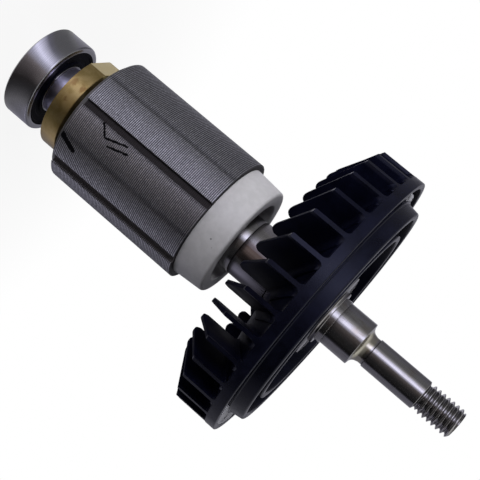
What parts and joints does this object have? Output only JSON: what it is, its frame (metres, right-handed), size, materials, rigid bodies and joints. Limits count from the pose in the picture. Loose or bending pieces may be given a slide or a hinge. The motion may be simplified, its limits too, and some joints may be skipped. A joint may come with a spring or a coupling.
{
  "type": "motor armature",
  "caption": "Rotor of a small brushless motor: laminated core on a stepped threaded shaft, with a bladed cooling fan, a brass balance ring and a sealed rear ball bearing.",
  "frame": {"origin": "centre of the rear bearing's outer end face, where the armature stands", "axes": "+Z along the shaft axis from the rear bearing to the threaded end; +X and +Y across it"},
  "size_m": [0.0572, 0.0572, 0.1012],
  "materials": {
    "bearing_steel": "ground and polished",
    "ball_steel": "polished",
    "cage_steel": "pressed sheet",
    "seal_rubber": "satin",
    "ground_steel": "ground",
    "brass": "turned, slightly stained",
    "dark_plate": "matt",
    "core_sheet": "stacked sheet edges, lacquered",
    "magnet": "plated",
    "pale_ring": "matt, pale grey",
    "fan_black": "glossy black",
    "insert_metal": "turned",
    "putty": "set putty, grey"
  },
  "bodies": {
    "bearing_outer": {"bearing_outer_ring": "bearing_steel", "bearing_seal_front": "seal_rubber", "bearing_seal_rear": "seal_rubber"},
    "rotor": {"bearing_inner_ring": "bearing_steel", "shaft": "ground_steel", "balance_ring": "brass", "end_plate": "dark_plate", "core": "core_sheet", "magnets": "magnet", "end_ring": "pale_ring", "fan": "fan_black", "fan_insert": "insert_metal", "putty_long": "putty", "putty_short": "putty"},
    "ball_cage": {"bearing_balls": "ball_steel", "bearing_cage_front": "cage_steel", "bearing_cage_rear": "cage_steel", "bearing_cage_rivets": "cage_steel"}
  },
  "joints": [
    {"name": "rotor_spin", "type": "hinge", "parent": "bearing_outer", "child": "rotor", "pos_m": [0, 0, 0.003], "axis": [0, 0, 1], "continuous": true},
    {"name": "cage_orbit", "type": "hinge", "parent": "bearing_outer", "child": "ball_cage", "pos_m": [0, 0, 0.003], "axis": [0, 0, 1], "continuous": true}
  ],
  "couplings": [
    {"joint": "cage_orbit", "follows": "rotor_spin", "ratio": 0.36538}
  ]
}
